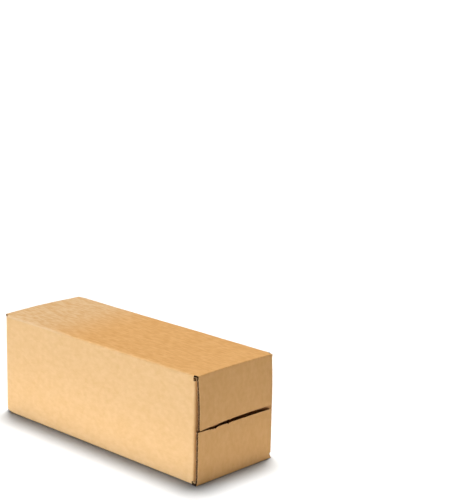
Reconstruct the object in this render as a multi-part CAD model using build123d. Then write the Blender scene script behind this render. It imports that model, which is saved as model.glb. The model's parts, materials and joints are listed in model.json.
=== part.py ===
from build123d import *
import math
import os

# A long folding carton of single-wall corrugated board, lying on one long side.
# Both ends close with two outer flaps that meet in a seam at mid height. Two inner
# flaps, folded in from the long sides, lie flat behind them.
# Millimetres. +X runs along the length, +Z is up, and the front panel faces -Y.
# The origin is the middle of the underside, with every flap shut.

# Outer size with every flap shut
length = 400.0
width = 148.0
height = 148.0

# Single-wall board: two liners with a fluted medium glued between them
board = 4.0
liner = 0.4
medium = 0.4
flute_pitch = 7.8
flute_flat = 1.2

# Folds: the long edges and the inner flaps bend round this radius outside, and the
# outer flaps turn on a score where the board is crushed thinner
fold_radius = 3.5
crease_thickness = 2.4
crushed_run = 2.5

# Gap between pieces that move past or lie against each other
clearance = 0.3

# The slots cut between neighbouring flaps, measured in from the outer faces, and
# how far each slot runs past the creases into the panels
slot_in_panel = 4.5
slot_in_side = 5.2
slot_run = 3.8

# The seam between the outer flaps: the upper flap's cut edge lies a little under mid
# height, and the lower flap's cut edge runs off square, so the gap opens to the back
seam_drop = 0.5
seam_gap_front = 1.2
seam_gap_back = 4.6

# Gap left between the inner flaps, at the middle of each end
inner_flap_gap = 6.0

# The glued joint that closes the four panels into a tube. The bottom panel turns up
# behind the back panel as a tab with tapered ends.
tab_width = 32.0
tab_set_back = 12.0
tab_taper = 8.0
joint_gap = 1.0

# Sizes that follow from the ones above
tube_half = length / 2 - board - clearance
crease_radius = crease_thickness / 2
hinge_x = length / 2 - crease_radius
flap_width = width - 2 * slot_in_panel
upper_edge_z = height / 2 - seam_drop
upper_reach = height - crease_radius - upper_edge_z
lower_reach_front = upper_edge_z - seam_gap_front - crease_radius
lower_reach_back = upper_edge_z - seam_gap_back - crease_radius
shoulder = crease_radius + clearance


def tube():
    """Four panels round one section, with the raw edge of the glued joint low at the back."""
    outline = Rectangle(width, height)
    folds = [v for v in outline.vertices() if v.X < 0 or v.Y > 0]
    outline = fillet(folds, fold_radius)
    section = outline - Rectangle(width - 2 * board, height - 2 * board)
    raw_edge = Pos(width / 2 - board / 2, -height / 2 + joint_gap / 2) * Rectangle(board, joint_gap)
    section = Plane.YZ * Pos(0, height / 2) * (section - raw_edge)
    return extrude(section, amount=tube_half - slot_run, both=True)


def panel_end_strips():
    """Top and bottom panels between the slots, out to the scores of the outer flaps."""
    full = Box(2 * tube_half, flap_width, board, align=(Align.CENTER, Align.CENTER, Align.MIN))
    lip_half = length / 2 - crease_thickness - clearance
    lip = Box(2 * lip_half, flap_width, crease_thickness, align=(Align.CENTER, Align.CENTER, Align.MIN))
    bottom = full + lip
    return bottom + mirror(bottom, about=Plane.XY.offset(height / 2))


def side_panels_and_inner_flaps():
    """The band between the slots: both long sides, turned in at each end as inner flaps."""
    ring = RectangleRounded(2 * tube_half, width, fold_radius)
    ring = ring - Rectangle(2 * (tube_half - board), width - 2 * board)
    ring = ring - Rectangle(2 * length, inner_flap_gap)
    return extrude(Plane.XY.offset(slot_in_side) * ring, amount=height - 2 * slot_in_side)


def glued_tab():
    """The tab inside the back panel, rooted in the bottom panel."""
    root = tube_half - tab_set_back
    tip = root - tab_taper
    shape = Polygon((-root, 0), (root, 0), (tip, tab_width), (-tip, tab_width), align=None)
    back_inside = Plane.XZ.offset(-(width / 2 - board))
    tab = extrude(back_inside * Pos(0, board) * shape, amount=board)
    return tab


def sleeve():
    return tube() + panel_end_strips() + side_panels_and_inner_flaps() + glued_tab()


def flute_tunnel():
    """One tunnel's section: the wide side lies on a liner, the round crest points at the other."""
    rise = board - 2 * liner
    lean = math.atan2(flute_pitch / 2 - flute_flat, rise)
    half_wide = (flute_pitch / 2 + rise * math.tan(lean) - medium / math.cos(lean)) / 2
    apex = half_wide / math.tan(lean)
    crest_radius = (apex - rise + medium) / (1 / math.sin(lean) - 1)
    shape = Polygon((0, -half_wide), (0, half_wide), (-apex, 0), align=None)
    return fillet(shape.vertices().sort_by(Axis.X)[0], crest_radius)


def flap_section(reach):
    """An outer flap cut across its hinge, with the hinge axis at the origin."""
    inner_face = crease_radius - board
    sides = Polyline(
        (crease_radius, 0),
        (crease_radius, -reach),
        (inner_face, -reach),
        (inner_face, -shoulder),
        (-crease_radius, -shoulder),
        (-crease_radius, 0),
    )
    knuckle = ThreePointArc((-crease_radius, 0), (0, crease_radius), (crease_radius, 0))
    section = make_face(sides + knuckle)
    tunnel = flute_tunnel()
    outer = crease_radius - liner
    inner = inner_face + liner
    step = flute_pitch / 2
    first = shoulder + crushed_run + step
    for count in range(int((reach - first) / step) + 1):
        place = -(first + count * step)
        if count % 2 == 0:
            section -= Pos(outer, place) * tunnel
        else:
            section -= Pos(inner, place) * Rot(0, 0, 180) * tunnel
    return section


def hanging_flap(reach_front, reach_back):
    """An outer flap hanging from a hinge axis along Y through the origin, outside at +X."""
    reach = max(reach_front, reach_back)
    blank = extrude(Plane.XZ * flap_section(reach + board), amount=flap_width / 2, both=True)
    half = flap_width / 2
    face = Polygon(
        (-half, crease_radius),
        (half, crease_radius),
        (half, -reach_back),
        (-half, -reach_front),
        align=None,
    )
    return blank & extrude(Plane.YZ * face, amount=2 * board, both=True)


def near_upper_flap():
    return Pos(hinge_x, 0, height - crease_radius) * hanging_flap(upper_reach, upper_reach)


def near_lower_flap():
    flap = hanging_flap(lower_reach_front, lower_reach_back)
    return Pos(hinge_x, 0, crease_radius) * mirror(flap, about=Plane.XY)


os.makedirs("parts", exist_ok=True)
upper = near_upper_flap()
lower = near_lower_flap()
pieces = {
    "sleeve": sleeve(),
    "near_upper_flap": upper,
    "near_lower_flap": lower,
    "far_upper_flap": mirror(upper, about=Plane.YZ),
    "far_lower_flap": mirror(lower, about=Plane.YZ),
}
for name, piece in pieces.items():
    export_step(piece, f"parts/{name}.step")
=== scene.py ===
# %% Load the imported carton
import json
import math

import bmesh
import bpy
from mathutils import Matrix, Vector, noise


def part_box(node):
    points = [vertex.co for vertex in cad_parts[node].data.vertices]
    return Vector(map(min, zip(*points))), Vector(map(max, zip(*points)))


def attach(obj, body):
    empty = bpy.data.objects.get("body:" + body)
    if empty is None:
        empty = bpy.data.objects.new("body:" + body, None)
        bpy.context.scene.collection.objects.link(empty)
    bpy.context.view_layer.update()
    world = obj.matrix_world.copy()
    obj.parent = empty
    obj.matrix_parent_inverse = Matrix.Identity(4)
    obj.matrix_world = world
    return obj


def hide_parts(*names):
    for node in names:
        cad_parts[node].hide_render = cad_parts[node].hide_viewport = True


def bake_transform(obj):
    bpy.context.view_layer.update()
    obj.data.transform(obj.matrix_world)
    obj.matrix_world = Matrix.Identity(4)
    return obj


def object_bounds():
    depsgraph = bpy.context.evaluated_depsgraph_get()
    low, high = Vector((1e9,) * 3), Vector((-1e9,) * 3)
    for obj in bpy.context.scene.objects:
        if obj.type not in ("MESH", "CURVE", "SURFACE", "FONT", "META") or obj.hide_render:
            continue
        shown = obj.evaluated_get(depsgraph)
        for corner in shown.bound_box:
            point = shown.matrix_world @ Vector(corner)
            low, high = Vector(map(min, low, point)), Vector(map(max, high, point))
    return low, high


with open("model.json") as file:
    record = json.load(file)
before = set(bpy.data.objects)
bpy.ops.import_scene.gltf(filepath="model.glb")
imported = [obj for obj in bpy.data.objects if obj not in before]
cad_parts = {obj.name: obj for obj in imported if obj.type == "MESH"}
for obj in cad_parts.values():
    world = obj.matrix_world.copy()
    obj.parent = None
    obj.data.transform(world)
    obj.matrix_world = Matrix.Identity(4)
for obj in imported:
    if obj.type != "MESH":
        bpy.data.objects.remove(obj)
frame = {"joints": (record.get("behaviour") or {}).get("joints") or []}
cad_low, cad_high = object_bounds()

# %% [markdown]
# A long carton is one sheet of corrugated board, cut, scored, folded and glued. Its
# looks come from three things: flat liner paper with a soft cloudy grain, folds that are
# rounded because the board has thickness, and cut edges where the fluted sheet between
# the two liners shows. The lesson builds it in that order, as sheets that are pulled
# straight for a panel and turned for a fold, and gives them thickness at the end.

MM = 0.001
X, Y, Z = Vector((1, 0, 0)), Vector((0, 1, 0)), Vector((0, 0, 1))
# without a seed, noise_vector takes its offset from the clock and differs on each run
noise.seed_set(7)

# %% [markdown]
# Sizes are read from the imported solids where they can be, so the sheets land where the
# hinges are. What a solid doesn't tell, such as the thickness of one paper, is a value
# in millimetres from how such board is made: C flute has crests about 7.8 mm apart.

# %% Sizes of the carton
upper_low, upper_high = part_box("near_upper_flap")
lower_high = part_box("near_lower_flap")[1]
hinge = {joint["child"]: Vector(joint["pos_m"]) for joint in frame["joints"]}

half_length = cad_high.x
half_width = cad_high.y
height = cad_high.z
board = upper_high.x - upper_low.x
flap_half = upper_high.y
crease_radius = half_length - hinge["near_upper_flap"].x
upper_edge = upper_low.z
lower_edge = lower_high.z

liner = 0.4 * MM
flute_pitch = 7.8 * MM
clearance = 0.3 * MM
fold_radius = 3.5 * MM
slot_in_side = 5.2 * MM
slot_run = 3.8 * MM
inner_flap_gap = 6.0 * MM
joint_gap = 1.0 * MM
tab_width = 32.0 * MM
tab_set_back = 12.0 * MM
tab_taper = 8.0 * MM
tab_play = 0.1 * MM
inner_flap_play = 0.8 * MM
turn_radius = 2.9 * MM
hair = 0.01 * MM

tube_half = half_length - board - clearance
panel_end = tube_half - slot_run
inner_end = tube_half - inner_flap_play
print(f"board {board / MM:.1f} mm, panels end at {panel_end / MM:.1f} mm from the middle")

# %% [markdown]
# Every sheet starts as one row of short edges. Pulling the row along makes a flat
# panel, and turning it round an axis makes a fold. These are the extrude and spin
# operators of the editor, called from code. Each helper gives back the last row, so
# the next pull or turn goes on from there, as a folding machine does.

# %% Rows, pulls and turns
def evenly(first, last, count):
    """The ends and the points between them that part the way into count equal steps."""
    first, last = Vector(first), Vector(last)
    return [first.lerp(last, i / count) for i in range(count + 1)]


def start_row(bm, points):
    """A row of edges through the points."""
    verts = [bm.verts.new(p) for p in points]
    return [bm.edges.new(pair) for pair in zip(verts, verts[1:])]


def pull(bm, row, step, count=1):
    """The row pulled along step in count strips."""
    for _ in range(count):
        made = bmesh.ops.extrude_edge_only(bm, edges=row)["geom"]
        verts = [g for g in made if isinstance(g, bmesh.types.BMVert)]
        bmesh.ops.translate(bm, verts=verts, vec=step / count)
        row = [g for g in made if isinstance(g, bmesh.types.BMEdge)]
    return row


def turn(bm, row, centre, axis, degrees, steps=6):
    """The row turned round an axis through centre, as a board turns at a fold."""
    verts = list(dict.fromkeys(v for e in row for v in e.verts))
    made = bmesh.ops.spin(
        bm,
        geom=verts + row,
        cent=centre,
        axis=axis,
        angle=math.radians(degrees),
        steps=steps,
        use_merge=False,
    )["geom_last"]
    return [g for g in made if isinstance(g, bmesh.types.BMEdge)]


def along(bm, row, points):
    """The row carried from one point to the next."""
    for a, b in zip(points, points[1:]):
        row = pull(bm, row, b - a)
    return row


# %% [markdown]
# A carton that has been folded and handled isn't a perfect block. The long panels belly
# out by part of a millimetre and the back one swells by more, the top sinks a little in
# the middle, and the scores at the ends bow up. The tube is racked, so that one corner
# stands higher, and the low far corner at the front is dented. One smooth rule moves
# every sheet alike, so the edges that meet still meet. It needs points in the middle of a
# panel, because a bend can only show where there are points to move.

# %% The set of a handled carton
BELLY = 0.7 * MM
BACK_SWELL = 3.8 * MM
TOP_SAG = 0.6 * MM
CROWN = 1.6 * MM
RACK = 2.0 * MM
UNEVEN = 0.25 * MM
UNEVEN_PER_METRE = 18
FOOT = 10 * MM
DENT = 3.5 * MM
DENT_HEIGHT = 25 * MM
# where the dent starts and how soon it is full, as shares of the half length
DENT_START, DENT_RUN = 0.92, 0.06


def settled(place):
    """Where a point of the perfect carton lies on the handled one."""
    lengthwise = place.x / half_length
    across = place.y / half_width
    rise = place.z / height * 2 - 1
    top = max(0.0, rise)
    middle = max(0.0, 1 - across**2)
    run = max(0.0, 1 - lengthwise**2)
    swell = BELLY * across * run * max(0.0, 1 - rise**2)
    swell += BACK_SWELL * max(0.0, across) * (1 - top**3)
    lift = CROWN * middle * top**6 * abs(lengthwise) ** 12 - TOP_SAG * middle * top * run
    lift += RACK * (1 - lengthwise) / 2 * (1 + across) / 2 * place.z / height
    in_corner = max(0.0, -lengthwise - DENT_START) / DENT_RUN * max(0.0, -across) ** 8
    lift += DENT * min(1.0, in_corner * max(0.0, 1 - place.z / DENT_HEIGHT))
    wander = noise.noise_vector(place * UNEVEN_PER_METRE) * UNEVEN * min(1.0, place.z / FOOT)
    return place + wander + Vector((0, swell, lift))


# %% [markdown]
# Each sheet gets its thickness from solidify, which pulls a second skin off the first
# and closes the cut edges between them. The two skins and the cut each get a material
# of their own, because the cut of a board is darker than the liner, and the glued side
# of its papers is coloured darker still, partly by its own brown and partly as painted
# shade of the flute tunnels. Sheets that belong together are then joined to one mesh.
# Each point also records where it lay at rest. Patterns read that record instead of the
# place in space, so the paper's grain stays on a flap when the flap swings.

# %% From rows to a piece
def as_sheet(bm, outwards, thickness, skins):
    """Thickens the sheet inwards. skins numbers the materials outside, on the cut and inside."""
    bmesh.ops.remove_doubles(bm, verts=bm.verts, dist=0.02 * MM)
    bmesh.ops.recalc_face_normals(bm, faces=bm.faces)
    if sum(f.calc_area() * outwards(f) for f in bm.faces) < 0:
        bmesh.ops.reverse_faces(bm, faces=bm.faces)
    first_skin = set(bm.verts)
    bmesh.ops.solidify(bm, geom=bm.faces[:], thickness=thickness)
    for face in bm.faces:
        shared = sum(v in first_skin for v in face.verts)
        if shared == len(face.verts):
            face.material_index = skins[0]
        elif shared:
            face.material_index = skins[1]
        else:
            face.material_index = skins[2]
    return bm


def finish_piece(sheets, name, materials, place_rule=settled):
    """One object from the sheets, moved by place_rule."""
    whole = bmesh.new()
    for bm in sheets:
        mesh = bpy.data.meshes.new("sheet")
        bm.to_mesh(mesh)
        bm.free()
        whole.from_mesh(mesh)
        bpy.data.meshes.remove(mesh)
    mesh = bpy.data.meshes.new(name)
    whole.to_mesh(mesh)
    whole.free()
    rest = mesh.attributes.new("rest_place", "FLOAT_VECTOR", "POINT")
    for vert, kept in zip(mesh.vertices, rest.data):
        kept.vector = vert.co
        vert.co = place_rule(vert.co.copy())
    mesh.shade_smooth()
    mesh.set_sharp_from_angle(angle=math.radians(40))
    for material in materials:
        mesh.materials.append(material)
    piece = bpy.data.objects.new(name, mesh)
    bpy.context.scene.collection.objects.link(piece)
    print(f"{name}: {len(mesh.polygons)} faces")
    return piece


# %% [markdown]
# Kraft liner is unbleached wood pulp pressed smooth on a machine. Its colour is a warm
# light brown that drifts in soft clouds under a centimetre wide, where more or less
# fibre settled. Short fibres lie mostly along the machine's run, a few of them darker.
# Behind the liner the flutes leave faint ridges across that run. The paper has a broad
# dull sheen. The colours below are sRGB hex values, as a picker shows them, and one
# function turns them to the linear values that a renderer works in.
#
# The top panel differs from the others: it has darker rub streaks along the carton, and
# it is paler towards the far end, which is painted light. Both are mixed over the paper
# only where a face lies close to the full height, so the sides don't get them.

# %% Colours and nodes
def colour(hex_value):
    """Linear colour with alpha from an sRGB hex value."""
    channels = [int(hex_value[i : i + 2], 16) / 255 for i in (1, 3, 5)]
    linear = [c / 12.92 if c <= 0.04045 else ((c + 0.055) / 1.055) ** 2.4 for c in channels]
    return (*linear, 1.0)


def node(tree, kind, inputs, **settings):
    """A node with its settings. Each input is a constant or the socket that feeds it."""
    made = tree.nodes.new(kind)
    for key, value in settings.items():
        setattr(made, key, value)
    for key, value in inputs.items():
        if isinstance(value, bpy.types.NodeSocket):
            tree.links.new(value, made.inputs[key])
        else:
            made.inputs[key].default_value = value
    return made


# %% Kraft paper
CLOUD_LENGTH = 9 * MM
CLOUD_WIDTH = 6 * MM
FIBRE_LENGTH = 5 * MM
FIBRE_WIDTH = 0.7 * MM
RIDGE = 0.03 * MM
STREAK_LENGTH = 14 * MM
STREAK_WIDTH = 3.2 * MM
RUBBED = "#CA9453"
# painted light: the top panel is mixed towards this paler tint at its far end
PAINTED_LIGHT_TINT = "#E0BF95"
MOST_RUBBED = 0.6
MOST_PAINTED_LIGHT = 0.9
PAINTED_LIGHT_FROM, PAINTED_LIGHT_TO = -20 * MM, -150 * MM


def rub_streaks_and_painted_light(tree, place, tone):
    """The tone of the top panel: paler towards the far end as painted light, with rub streaks over it.
    """
    axes = node(tree, "ShaderNodeSeparateXYZ", {"Vector": place})
    painted_light_share = node(
        tree,
        "ShaderNodeMapRange",
        {"Value": axes.outputs["X"], "From Min": PAINTED_LIGHT_FROM, "From Max": PAINTED_LIGHT_TO, "To Max": MOST_PAINTED_LIGHT},
        interpolation_type="SMOOTHSTEP",
    )
    by_height = node(
        tree,
        "ShaderNodeMapRange",
        {"Value": axes.outputs["Z"], "From Min": height - fold_radius, "From Max": height - liner},
    )
    scale = (1 / STREAK_LENGTH, 1 / STREAK_WIDTH, 1 / STREAK_WIDTH)
    laid = node(tree, "ShaderNodeMapping", {"Vector": place, "Scale": scale})
    streaks = node(
        tree, "ShaderNodeTexNoise", {"Vector": laid.outputs["Vector"], "Scale": 1.0, "Detail": 3.0}
    )
    by_streak = node(
        tree,
        "ShaderNodeMapRange",
        {"Value": streaks.outputs["Fac"], "From Min": 0.38, "From Max": 0.66, "To Max": MOST_RUBBED},
    )
    for share, over in ((painted_light_share, PAINTED_LIGHT_TINT), (by_streak, RUBBED)):
        on_top = node(
            tree,
            "ShaderNodeMath",
            {0: share.outputs["Result"], 1: by_height.outputs["Result"]},
            operation="MULTIPLY",
        )
        mixed = node(
            tree,
            "ShaderNodeMix",
            {0: on_top.outputs["Value"], 6: tone, 7: colour(over)},
            data_type="RGBA",
        )
        tone = mixed.outputs[2]
    return tone


def kraft_paper(name, run, light, dark, rubbed_and_lit=False, sheen=0.3):
    """Matt kraft paper. Its fibres lie along axis number run, and the flutes behind it across."""
    material = bpy.data.materials.new(name)
    material.use_nodes = True
    tree = material.node_tree
    shader = tree.nodes["Principled BSDF"]
    place = node(tree, "ShaderNodeAttribute", {}, attribute_name="rest_place").outputs["Vector"]
    stretch = [1 / FIBRE_WIDTH] * 3
    stretch[run] = 1 / FIBRE_LENGTH
    laid = node(tree, "ShaderNodeMapping", {"Vector": place, "Scale": stretch})
    fibres = node(
        tree, "ShaderNodeTexNoise", {"Vector": laid.outputs["Vector"], "Scale": 1.0, "Detail": 3.0}
    )
    drift = [1 / CLOUD_WIDTH] * 3
    drift[run] = 1 / CLOUD_LENGTH
    drawn = node(tree, "ShaderNodeMapping", {"Vector": place, "Scale": drift})
    clouds = node(
        tree, "ShaderNodeTexNoise", {"Vector": drawn.outputs["Vector"], "Scale": 1.0, "Detail": 5.0}
    )
    mixed = node(
        tree,
        "ShaderNodeMath",
        {0: fibres.outputs["Fac"], 1: 0.45, 2: clouds.outputs["Fac"]},
        operation="MULTIPLY_ADD",
    )
    tone = node(tree, "ShaderNodeValToRGB", {"Fac": mixed.outputs["Value"]})
    tone.color_ramp.elements[0].position = 0.5
    tone.color_ramp.elements[0].color = colour(dark)
    tone.color_ramp.elements[1].position = 0.95
    tone.color_ramp.elements[1].color = colour(light)
    shade = tone.outputs["Color"]
    if rubbed_and_lit:
        shade = rub_streaks_and_painted_light(tree, place, shade)
    tree.links.new(shade, shader.inputs["Base Color"])
    shader.inputs["Roughness"].default_value = 0.8
    shader.inputs["Specular IOR Level"].default_value = sheen
    axes = node(tree, "ShaderNodeSeparateXYZ", {"Vector": place})
    per_metre = 2 * math.pi / flute_pitch
    turns = node(tree, "ShaderNodeMath", {0: axes.outputs[run], 1: per_metre}, operation="MULTIPLY")
    ridges = node(tree, "ShaderNodeMath", {0: turns.outputs["Value"]}, operation="SINE")
    relief = node(
        tree,
        "ShaderNodeMath",
        {0: ridges.outputs["Value"], 1: 0.7, 2: fibres.outputs["Fac"]},
        operation="MULTIPLY_ADD",
    )
    bump = node(
        tree,
        "ShaderNodeBump",
        {"Height": relief.outputs["Value"], "Distance": RIDGE, "Strength": 1.0},
    )
    tree.links.new(bump.outputs["Normal"], shader.inputs["Normal"])
    return material


# the paper outside and inside the four panels, with its fibres along the carton
liner_on_panels = kraft_paper("kraft liner on the panels", 0, "#E2B075", "#DAA667", rubbed_and_lit=True)
# the same paper on the outer flaps, where the fibres run down the flap
liner_on_outer_flaps = kraft_paper(
    "kraft liner on the outer flaps", 2, "#E2B075", "#DAA667", rubbed_and_lit=True
)
# the same paper on the inner flaps, turned a quarter by the fold
liner_on_inner_flaps = kraft_paper("kraft liner on the inner flaps", 1, "#E0AC71", "#D39B62")
# all the layers cut through by a knife
cut_edge = kraft_paper("knife-cut board edge", 0, "#CB9C66", "#B38452")
# the rough sides inside the board, where the papers are glued together: partly their own darker brown,
# partly painted shade of the flute tunnels
glue_side_and_tunnel_shade = kraft_paper("fluting medium and glue lines with painted tunnel shade", 0, "#7E5730", "#5F3E20", sheen=0.0)
# the cut board in the near end's slots, coloured near black: painted shade of the deep slot holes
slot_shade = kraft_paper("painted shade in the slots", 0, "#3E2613", "#26170B", sheen=0.0)
LINER, CUT, GLUED_AND_SHADE, SLOT_SHADE = 0, 1, 2, 3

# %% [markdown]
# The sleeve is the blank wrapped once round the goods. The wrap starts at the raw edge
# of the back panel, just above the table, and goes up the back, over the top, down the
# front and along the bottom, and it ends where the bottom panel turns up behind the
# back panel to be glued. A closed tube would be simpler, but the open wrap leaves the
# thin line of the glued joint that a real carton has.

# %% Wrap the sleeve
LONG_STEPS = 66
PANEL_STEPS = 22
# how far the upper slots of the front panel end below or above their true place
NEAR_SLOT_DROP = 2.4 * MM
FAR_SLOT_RISE = 3.4 * MM
# how far the tab's foot rises before its tapered ends start
TAB_FOOT = 1.5 * MM


def wrap_sleeve():
    bm = bmesh.new()
    r = fold_radius
    side = (half_width, joint_gap)
    row = start_row(bm, evenly((-panel_end, *side), (panel_end, *side), LONG_STEPS))
    row = pull(bm, row, Z * (slot_in_side - joint_gap), 2)
    row = pull(bm, row, Z * (height - 2 * slot_in_side), PANEL_STEPS)
    row = pull(bm, row, Z * (slot_in_side - r))
    row = turn(bm, row, (0, half_width - r, height - r), X, 90)
    row = pull(bm, row, -Y * (2 * half_width - 2 * r), PANEL_STEPS)
    row = turn(bm, row, (0, r - half_width, height - r), X, 90)
    row = pull(bm, row, -Z * (slot_in_side - r))
    row = pull(bm, row, -Z * (height - 2 * slot_in_side), PANEL_STEPS)
    row = pull(bm, row, -Z * (slot_in_side - r))
    row = turn(bm, row, (0, r - half_width, r), X, 90)
    tuck = half_width - board - tab_play - r
    row = pull(bm, row, Y * (tuck + half_width - r), PANEL_STEPS)
    row = turn(bm, row, (0, tuck, r), X, 90)
    glue_tab(bm, row)
    fold_in_sides(bm)
    return bm


def glue_tab(bm, row):
    """The bottom panel carried up behind the back panel as a tab with tapered ends."""
    steps = ((TAB_FOOT, tab_set_back - slot_run), (tab_width - fold_radius, tab_taper))
    for step, narrowing in steps:
        reached = max(v.co.x for e in row for v in e.verts)
        row = pull(bm, row, Z * step)
        for vert in {v for e in row for v in e.verts}:
            vert.co.x *= (reached - narrowing) / reached


def fold_in_sides(bm):
    """The front and back panels carried on past the slots and turned in."""
    for end in (-1, 1):
        for side in (-1, 1):
            edges = []
            for e in bm.edges:
                a, b = e.verts[0].co, e.verts[1].co
                at_end = min(a.x * end, b.x * end) > panel_end - hair
                on_side = min(a.y * side, b.y * side) > half_width - hair
                low, high = min(a.z, b.z), max(a.z, b.z)
                within = low > slot_in_side - hair and high < height - slot_in_side + hair
                if at_end and on_side and within:
                    edges.append(e)
            edges = pull(bm, edges, X * end * (inner_end - turn_radius - panel_end))
            centre = (end * (inner_end - turn_radius), side * (half_width - turn_radius), 0)
            turn(bm, edges, centre, Z, -90 * end * side)
    for v in bm.verts:
        past_slot = abs(v.co.x) > panel_end + hair and v.co.z > height - slot_in_side - hair
        if past_slot and v.co.y < 0:
            v.co.z += -NEAR_SLOT_DROP if v.co.x > 0 else FAR_SLOT_RISE


def faces_out_of_box(face):
    """Positive where a face of the wrap looks away from the middle of the carton."""
    middle = face.calc_center_median()
    from_axis = Vector((0, middle.y, middle.z - height / 2))
    return face.normal.dot(from_axis)


sleeve_sheet = as_sheet(wrap_sleeve(), faces_out_of_box, board, (LINER, CUT, LINER))
# the cut faces in the near end's slots get the near-black colour, painted shade of the slot holes
for face in sleeve_sheet.faces:
    if face.material_index == CUT and face.calc_center_median().x > panel_end - hair:
        face.material_index = SLOT_SHADE
panel_papers = [liner_on_panels, cut_edge, glue_side_and_tunnel_shade, slot_shade]
sleeve = finish_piece([sleeve_sheet], "sleeve_panels", panel_papers)
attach(sleeve, "sleeve")
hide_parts("sleeve")

# %% [markdown]
# Each flap shows its cut edges, so it is built as the board really is: an outer liner,
# an inner liner and a wavy medium that touches them in turn. Modelling three thin
# sheets costs few faces, and the tunnels of the flutes then look right from any side,
# helped by the dark glued-side colour inside them, which is partly painted shade.
# A pattern of dark triangles on a solid edge would look painted.

# %% The wave of the medium
WAVE_STEPS = 12
WAVE_PLAY = 0.1 * MM


def wave_points(start, run, depth_axis, middle, reach):
    """Points along a fluted sheet: run is its direction, and the wave swings along depth_axis."""
    swing = (board - 2 * liner) / 2 - WAVE_PLAY
    count = int(reach / flute_pitch * WAVE_STEPS)
    points = []
    for i in range(count + 1):
        gone = reach * i / count
        phase = 2 * math.pi * gone / flute_pitch
        points.append(start + run * gone + depth_axis * (middle + swing * math.cos(phase)))
    return points


# %% [markdown]
# The inner flaps fold in first, so they lie one board's thickness further in than the
# outer ones. They hang from the turned ends of the long sides, and with nothing pressing
# on them from inside they lean in a few degrees, which makes the gap behind the seam
# dark. Their flutes run up and down, and show at the top and bottom cuts, by the slots.

# %% Fold in the inner flaps
LEAN = math.tan(math.radians(8))
SPAN_STEPS = 12


def inner_flap(end, side):
    low, high = slot_in_side, height - slot_in_side
    root = side * (half_width - turn_radius)
    tip = side * inner_flap_gap / 2
    span = abs(tip - root)

    def out_of_end(face):
        return face.normal.x * end

    def flat_sheet(x, skins):
        bm = bmesh.new()
        row = start_row(bm, evenly((end * x, root, low), (end * x, root, high), PANEL_STEPS))
        pull(bm, row, Y * (tip - root), SPAN_STEPS)
        return as_sheet(bm, out_of_end, liner, skins)

    fluted = bmesh.new()
    middle = inner_end - board / 2 + liner / 2
    points = wave_points(Vector((0, root, low)), -Y * side, X * end, middle, span)
    row = start_row(fluted, evenly(points[0], points[0] + Z * (high - low), 4))
    along(fluted, row, points)
    sheets = [
        flat_sheet(inner_end, (LINER, CUT, GLUED_AND_SHADE)),
        flat_sheet(inner_end - board + liner, (GLUED_AND_SHADE, CUT, LINER)),
        as_sheet(fluted, out_of_end, liner, (GLUED_AND_SHADE, CUT, GLUED_AND_SHADE)),
    ]

    def leaning(place):
        gone = abs(root) - abs(place.y)
        return settled(place - X * end * LEAN * gone)

    name = f"{'near' if end > 0 else 'far'}_{'back' if side > 0 else 'front'}_inner_flap"
    piece = finish_piece(sheets, name, [liner_on_inner_flaps, cut_edge, glue_side_and_tunnel_shade], leaning)
    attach(piece, "sleeve")


for end in (1, -1):
    for side in (-1, 1):
        inner_flap(end, side)

# %% [markdown]
# A machine cuts the slots between the flaps, and it is seldom quite on register. At the
# near end they sit a millimetre or more towards the front, so the front slots are narrow
# and the back ones wide, and the flaps widen again towards the score. The knife also
# pinches the board where it cuts, most between the crests of the flutes, which leaves a
# row of beads. It was blunt: both free edges run off square, and they have torn teeth at
# two places. Shut flaps are pushed in a little at the seam, where nothing holds them.
# All of that is small moves of the flap's points, written as one rule, so the three
# sheets agree.

# %% How the flaps were cut
BY_CUT = 1.6 * MM
PINCH = 0.12
BEAD = 0.8 * MM
CRUSH_END = 4 * MM
CRUSH = 0.55
DISH = 1.4 * MM
UPPER_SLANT = 2.9 * MM
LOWER_SLANT = 1.2 * MM
FREE_EDGE = 0.985
EDGE_WANDER = 0.15 * MM
TOOTH = 5.0 * MM
TOOTH_LENGTH = 2.6 * MM
# each torn stretch: its middle and half length in mm, and its share of the full tooth
TORN_STRETCHES = ((-40, 7, 1.0), (-11, 2.5, 0.8))
# half widths at the score, to the front and to the back, and how far the flare runs, in mm
AT_CREASE = {
    "near_upper_flap": (73.2, 68.0, 58),
    "near_lower_flap": (74.2, 67.5, 7),
    "far_upper_flap": (69.9, 70.0, 12),
    "far_lower_flap": (68.5, 70.0, 12),
}
# share of the true width, then in mm the shift to the front, how much of it is lost at the
# free edge, and what is missing at the back
CUT_TO = {
    "near_upper_flap": (0.99, 1.2, 0.9, 3.5),
    "near_lower_flap": (0.993, 2.7, 0.0, 1.2),
    "far_upper_flap": (0.99, -0.8, 0.0, 0.0),
    "far_lower_flap": (0.99, -0.8, 0.0, 0.0),
}


def torn(place):
    """How far the cut edge strays, with torn teeth at two places."""
    worn = 0.0
    for middle, half, depth in TORN_STRETCHES:
        worn += depth * math.exp(-(((place.y - middle * MM) / (half * MM)) ** 2))
    rough = noise.noise(Vector((place.y / TOOTH_LENGTH, 0.5, 0.5)))
    return EDGE_WANDER * rough - TOOTH * worn * abs(rough)


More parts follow.
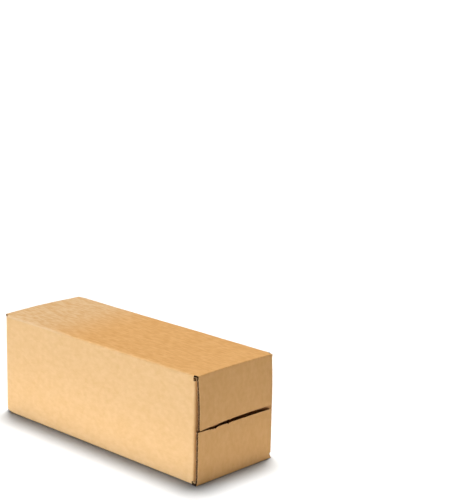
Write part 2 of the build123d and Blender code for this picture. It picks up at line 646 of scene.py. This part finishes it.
def as_cut(place, body, axis, reach, up):
    """Where a point of a true flap lies on the one that was cut."""
    end = math.copysign(1, axis.x)
    gone = (axis.z - place.z) * up
    share = max(0.0, min(1.0, gone / reach))
    across = place.y / flap_half
    by_cut = max(0.0, 1 - (flap_half - abs(place.y)) / BY_CUT) ** 2
    between = 0.5 + 0.5 * math.cos(2 * math.pi * (gone - CRUSH_END) / flute_pitch)
    if gone > CRUSH_END:
        middle = end * (half_length - board / 2)
        place.x -= (place.x - middle) * PINCH * by_cut * (0.4 + between)
        place.y -= math.copysign(BEAD, place.y) * by_cut * between
    elif by_cut > 0:
        outer_face = height if up > 0 else 0.0
        crushed = CRUSH * by_cut * min(1.0, 1 - gone / CRUSH_END)
        place.z += (outer_face - place.z) * crushed
    to_front = (1 - across) / 2
    to_edge = max(0.0, share * 6 - 5)
    if up > 0:
        place.z += UPPER_SLANT * (1 - to_front**3) * to_edge
    else:
        place.z -= LOWER_SLANT * (1 - to_front**6) * to_edge
    if share > FREE_EDGE:
        place.z += torn(place) * (1.0 if up < 0 else 0.4)
    place.x -= end * DISH * share**2 * (1 - across**2)
    left, shift, lost, missing = CUT_TO[body]
    place.y = place.y * left - (shift - lost * share + missing * max(0.0, across)) * MM
    front, back, run = AT_CREASE[body]
    spread = max(0.0, 1 - max(gone, 0.0) / (run * MM)) ** 2
    wide = (front if across < 0 else back) * MM
    place.y += (across * wide - place.y) * spread
    return settled(place)


# %% [markdown]
# An outer flap and the panel it hangs from are one sheet with a score pressed across
# it. The three sheets start at the panel's end, are crushed together on the way round
# the score, and open out again in the flap.

# %% Hang the outer flaps
FLAP_STEPS = 100
REACH_STEPS = 54
BY_THE_CUT = (0.0, 0.4, 0.9, 1.6)
EVEN_FROM = 2.6 * MM
LEAD_STEPS = 4
# how far the inner liner and the medium are carried round the score before they part
CRUSH_ROUND = 0.5 * MM
UNFOLD_RUN = 1.5 * MM
MEDIUM_ROUND = 0.3 * MM
# how far the near-black painted slot shade reaches in from a slot and down from the score
SLOT_SHADE_IN, SLOT_SHADE_DOWN = 4 * MM, 2.5 * MM


def flap_row(bm, start, steps):
    """A row across a flap, with closer points beside the two cut edges."""
    whole = 2 * flap_half
    offsets = [d * MM for d in BY_THE_CUT]
    offsets += [EVEN_FROM + (whole - 2 * EVEN_FROM) * i / steps for i in range(steps + 1)]
    offsets += [whole - d * MM for d in reversed(BY_THE_CUT)]
    return start_row(bm, [start + Y * d for d in offsets])


def outer_flap(body, end, up):
    """end is +1 or -1 along X. up is +1 for a flap that hangs from the top panel."""
    axis = hinge[body]
    out, down = X * end, -Z * up
    lead = abs(axis.x) - panel_end
    reach = abs(axis.z - (upper_edge if up > 0 else lower_edge))
    inside = board - crease_radius

    def spot(outwards, downwards):
        return axis - Y * flap_half + out * outwards + down * downwards

    def faces_out(face):
        return face.normal.dot(out)

    outer = bmesh.new()
    row = flap_row(outer, spot(-lead, -crease_radius), FLAP_STEPS)
    row = pull(outer, row, out * lead, LEAD_STEPS)
    row = turn(outer, row, axis, Y, 90 * end * up)
    row = pull(outer, row, down * (reach - MM), REACH_STEPS)
    pull(outer, row, down * MM)

    crush = crease_radius + CRUSH_ROUND
    unfold = inside + UNFOLD_RUN
    turn_in = [
        spot(-lead, inside - liner),
        spot(-unfold, inside - liner),
        spot(-crush, crush),
        spot(-inside + liner, unfold),
    ]
    straight = evenly(turn_in[-1], spot(-inside + liner, reach - MM), REACH_STEPS)
    inner = bmesh.new()
    row = flap_row(inner, turn_in[0], FLAP_STEPS)
    along(inner, row, turn_in + straight[1:] + [spot(-inside + liner, reach)])

    middle = crease_radius - board / 2 + liner / 2
    crushed = [
        spot(-lead, -middle),
        spot(-inside, -middle * 0.2),
        spot(-MEDIUM_ROUND, MEDIUM_ROUND),
    ]
    crushed += wave_points(spot(0, unfold), down, out, middle, reach - unfold)
    fluted = bmesh.new()
    along(fluted, flap_row(fluted, crushed[0], 6), crushed)

    sheets = [
        as_sheet(outer, faces_out, liner, (LINER, CUT, GLUED_AND_SHADE)),
        as_sheet(inner, faces_out, liner, (GLUED_AND_SHADE, CUT, LINER)),
        as_sheet(fluted, faces_out, liner, (GLUED_AND_SHADE, CUT, GLUED_AND_SHADE)),
    ]
    # at the near end, cut and glued faces beside the slots by the score get the near-black colour:
    # painted shade of the slot holes
    for face in (f for sheet in sheets for f in sheet.faces):
        centre = face.calc_center_median()
        at_side = abs(centre.y) > flap_half - SLOT_SHADE_IN
        at_score = (axis.z - centre.z) * up < SLOT_SHADE_DOWN
        if at_side and at_score and face.material_index != LINER:
            face.material_index = SLOT_SHADE if end > 0 else CUT
    papers = [liner_on_outer_flaps, cut_edge, glue_side_and_tunnel_shade, slot_shade]

    def cut_place(place):
        return as_cut(place, body, axis, reach, up)

    piece = finish_piece(sheets, f"{body}_board", papers, cut_place)
    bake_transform(piece)
    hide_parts(body)


for end, up, body in (
    (1, 1, "near_upper_flap"),
    (1, -1, "near_lower_flap"),
    (-1, 1, "far_upper_flap"),
    (-1, -1, "far_lower_flap"),
):
    outer_flap(body, end, up)

# %% [markdown]
# The picture was taken as a product cut-out: a white ground, a broad light from above, a
# cooler one from the front left, and open shade on the end. Two large distant lights and
# a weak world give that without hard edges, and two low strips brighten the foot of the
# front and of the end, as light thrown back by a pale table does. The ground has a light
# of its own, which reaches nothing else, so its white and its shadow can be set apart
# from the tones of the carton. The camera sees the world brighter than it lights, so the
# ground's far edge doesn't show as a line.

# %% Ground and light
GROUND_HALF = 40.0
STRIP_HEIGHT = 20 * MM
ROOM_LIGHT = 0.06


def ground():
    bm = bmesh.new()
    bmesh.ops.create_grid(bm, x_segments=1, y_segments=1, size=GROUND_HALF)
    mesh = bpy.data.meshes.new("floor")
    bm.to_mesh(mesh)
    bm.free()
    floor = bpy.data.objects.new("floor", mesh)
    bpy.context.scene.collection.objects.link(floor)
    material = bpy.data.materials.new("pale paper ground")
    material.use_nodes = True
    shader = material.node_tree.nodes["Principled BSDF"]
    shader.inputs["Base Color"].default_value = colour("#949494")
    shader.inputs["Roughness"].default_value = 1.0
    shader.inputs["Specular IOR Level"].default_value = 0.0
    mesh.materials.append(material)
    return floor


def broad_light(name, towards, strength, spread, tint):
    """A distant light. towards points from the carton to the light, and spread is its softness."""
    lamp = bpy.data.lights.new(name, "SUN")
    lamp.energy = strength
    lamp.angle = math.radians(spread)
    lamp.color = colour(tint)[:3]
    holder = bpy.data.objects.new(name, lamp)
    holder.location = Vector(towards) * 2
    holder.rotation_euler = Vector(towards).to_track_quat("Z", "Y").to_euler()
    bpy.context.scene.collection.objects.link(holder)
    return holder


def low_strip(name, place, back, width, power):
    """A strip light just above the ground. back points away from the face it lights."""
    lamp = bpy.data.lights.new(name, "AREA")
    lamp.shape = "RECTANGLE"
    lamp.size = width
    lamp.size_y = STRIP_HEIGHT
    lamp.energy = power
    holder = bpy.data.objects.new(name, lamp)
    holder.location = place
    holder.rotation_euler = back.to_track_quat("Z", "Y").to_euler()
    holder.visible_camera = False
    bpy.context.scene.collection.objects.link(holder)
    return holder


floor = ground()
broad_light("light_from_above", (-0.15, 0.16, 1.0), 3.13, 28, "#FFF9EC")
broad_light("light_from_front_left", (-0.42, -0.90, 0.07), 5.02, 25, "#BDD7FB")
low_strip("light_low_by_the_end", (270 * MM, 0.0, 15 * MM), X, 200 * MM, 0.021)
low_strip("light_low_by_the_front", (0.0, -144 * MM, 15 * MM), -Y, 440 * MM, 0.055)
on_ground = broad_light("light_on_the_ground", (-0.175, 0.195, 1.0), 9.6, 20, "#FFFFFF")
lit_ground = bpy.data.collections.new("lit_ground")
lit_ground.objects.link(floor)
on_ground.light_linking.receiver_collection = lit_ground

world = bpy.data.worlds.new("pale room")
world.use_nodes = True
room = world.node_tree
seen = node(room, "ShaderNodeLightPath", {}).outputs["Is Camera Ray"]
strength = node(
    room, "ShaderNodeMath", {0: seen, 1: 1 - ROOM_LIGHT, 2: ROOM_LIGHT}, operation="MULTIPLY_ADD"
)
room.links.new(strength.outputs["Value"], room.nodes["Background"].inputs["Strength"])
room.nodes["Background"].inputs["Color"].default_value = colour("#FFFFFF")
bpy.context.scene.world = world
bpy.context.scene.view_settings.view_transform = "Standard"

# %% [markdown]
# The camera's place was worked out once from the corners of the carton in the picture.
# Its lens belongs to the picture's long side. It is set from three directions, to the
# right, up and back, so that its slight roll is kept.

# %% Camera
CAMERA_PLACE = Vector((1296.4, -1201.9, 659.0)) * MM
LOOK = Vector((-0.66626, 0.71395, -0.21532))
RIGHT = Vector((0.72753, 0.68570, 0.02244))
LENS = 94.0


def photo_camera():
    data = bpy.data.cameras.new("photo_camera")
    data.lens = LENS
    data.sensor_width = 36.0
    camera = bpy.data.objects.new("photo_camera", data)
    back = -LOOK.normalized()
    right = RIGHT.normalized()
    up = back.cross(right).normalized()
    turned = Matrix((right, up, back)).transposed().to_4x4()
    camera.matrix_world = Matrix.Translation(CAMERA_PLACE) @ turned
    bpy.context.scene.collection.objects.link(camera)
    bpy.context.scene.camera = camera


photo_camera()
